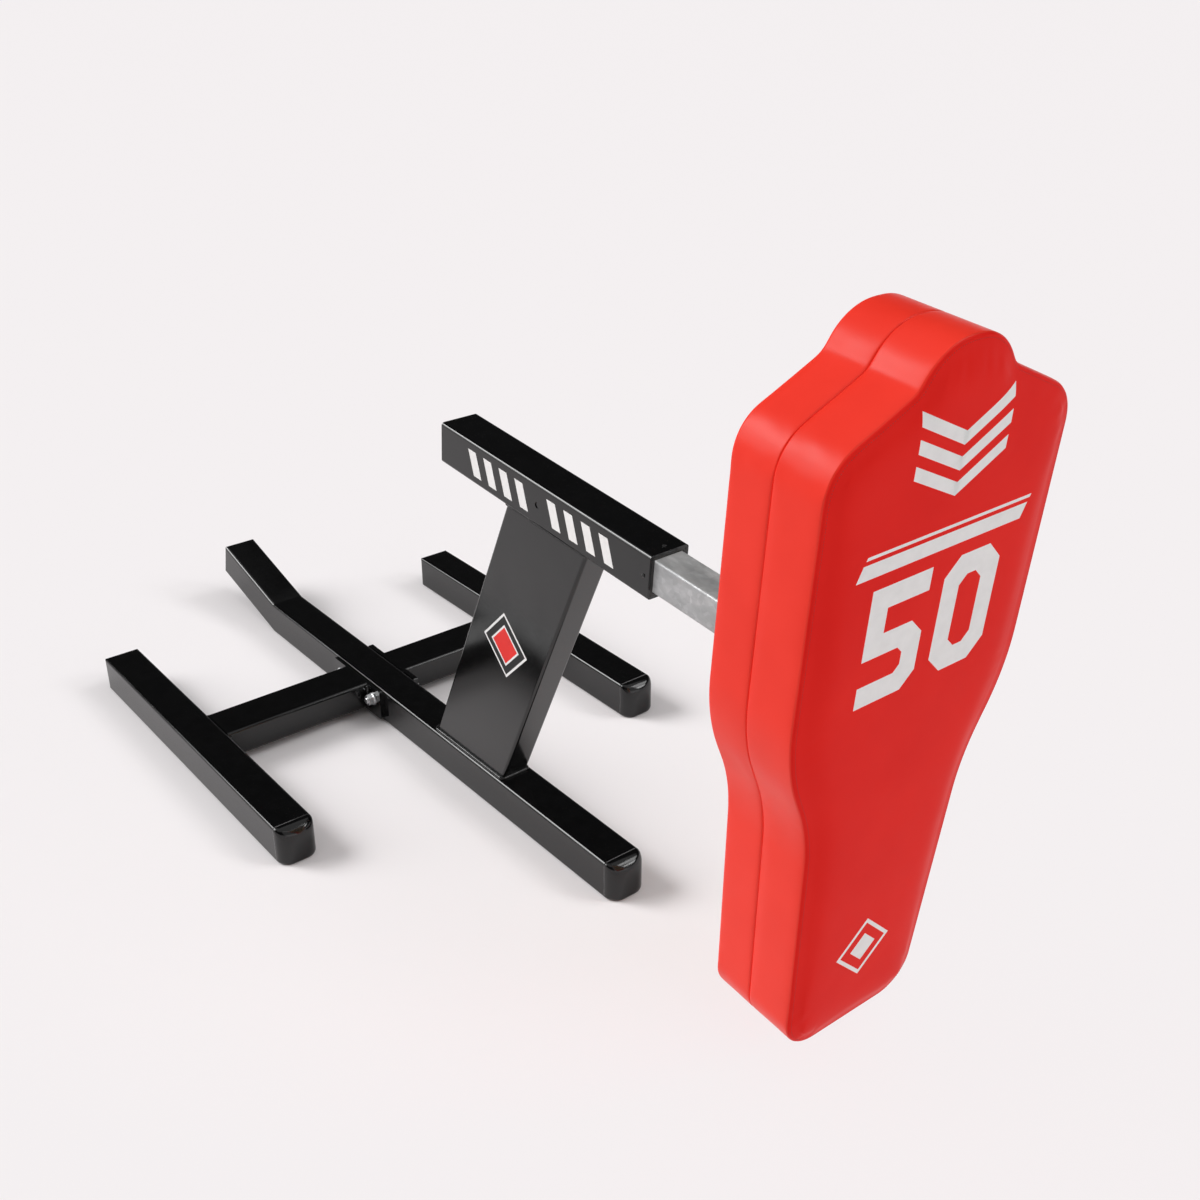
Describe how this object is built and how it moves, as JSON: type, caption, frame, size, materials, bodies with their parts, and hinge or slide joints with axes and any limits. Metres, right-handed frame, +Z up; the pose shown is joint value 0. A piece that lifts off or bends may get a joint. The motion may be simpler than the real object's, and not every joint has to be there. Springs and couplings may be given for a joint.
{
  "type": "blocking sled",
  "caption": "Low steel blocking sled on parallel skids, with a leaning box post and a square receiver whose sprung arm carries a tall man-shaped foam pad.",
  "frame": {"origin": "on the ground, in the middle of the centre skid's underside, where the cross tubes' axis passes over it", "axes": "+Z up; +Y the way the sled is pushed, from the pad towards the bent-up nose; +X to the right of a player who faces the pad"},
  "size_m": [1.1782, 2.8146, 1.5677],
  "materials": {
    "black_steel": "gloss",
    "bright_hardware": "satin",
    "galvanised_steel": "satin",
    "black_liner": "matte",
    "spring_steel": "satin",
    "plywood": "matte",
    "pad_cover": "satin"
  },
  "bodies": {
    "frame": {"centre_skid": "black_steel", "centre_nose": "black_steel", "centre_tail_cap": "black_steel", "centre_nose_cap": "black_steel", "left_skid": "black_steel", "left_tail_cap": "black_steel", "left_nose_cap": "black_steel", "right_skid": "black_steel", "right_tail_cap": "black_steel", "right_nose_cap": "black_steel", "left_cross_tube": "black_steel", "right_cross_tube": "black_steel", "left_flange": "black_steel", "right_flange": "black_steel", "cross_tube_welds": "black_steel", "bolt_sleeves": "bright_hardware", "flange_bolts": "bright_hardware", "flange_washers": "bright_hardware", "flange_nuts": "bright_hardware", "upright": "black_steel", "foot_weld": "black_steel", "head_weld": "black_steel", "receiver": "black_steel", "receiver_end_plate": "black_steel", "mouth_liner_top": "black_liner", "mouth_liner_bottom": "black_liner", "mouth_liner_left": "black_liner", "mouth_liner_right": "black_liner", "mouth_liner_screws": "black_steel", "stop_pin": "black_steel", "spring_guide": "black_steel", "spring": "spring_steel"},
    "arm": {"arm": "galvanised_steel", "arm_end_plate": "galvanised_steel", "arm_liner_top": "black_liner", "arm_liner_bottom": "black_liner", "arm_liner_left": "black_liner", "arm_liner_right": "black_liner", "arm_liner_screws": "bright_hardware", "pad_plate": "galvanised_steel", "pad_gussets": "galvanised_steel", "pad_bolts": "bright_hardware", "pad_washers": "bright_hardware", "pad_t_nuts": "bright_hardware", "pad_board": "plywood", "pad_rear_cushion": "pad_cover", "pad_front_cushion": "pad_cover"}
  },
  "joints": [
    {"name": "arm_slide", "type": "slide", "parent": "frame", "child": "arm", "axis": [0, 0.9966, 0.0819], "range_m": [0, 0.09], "stiffness_N_per_m": 39000, "springref_m": -0.015, "deforming": ["spring"]}
  ]
}
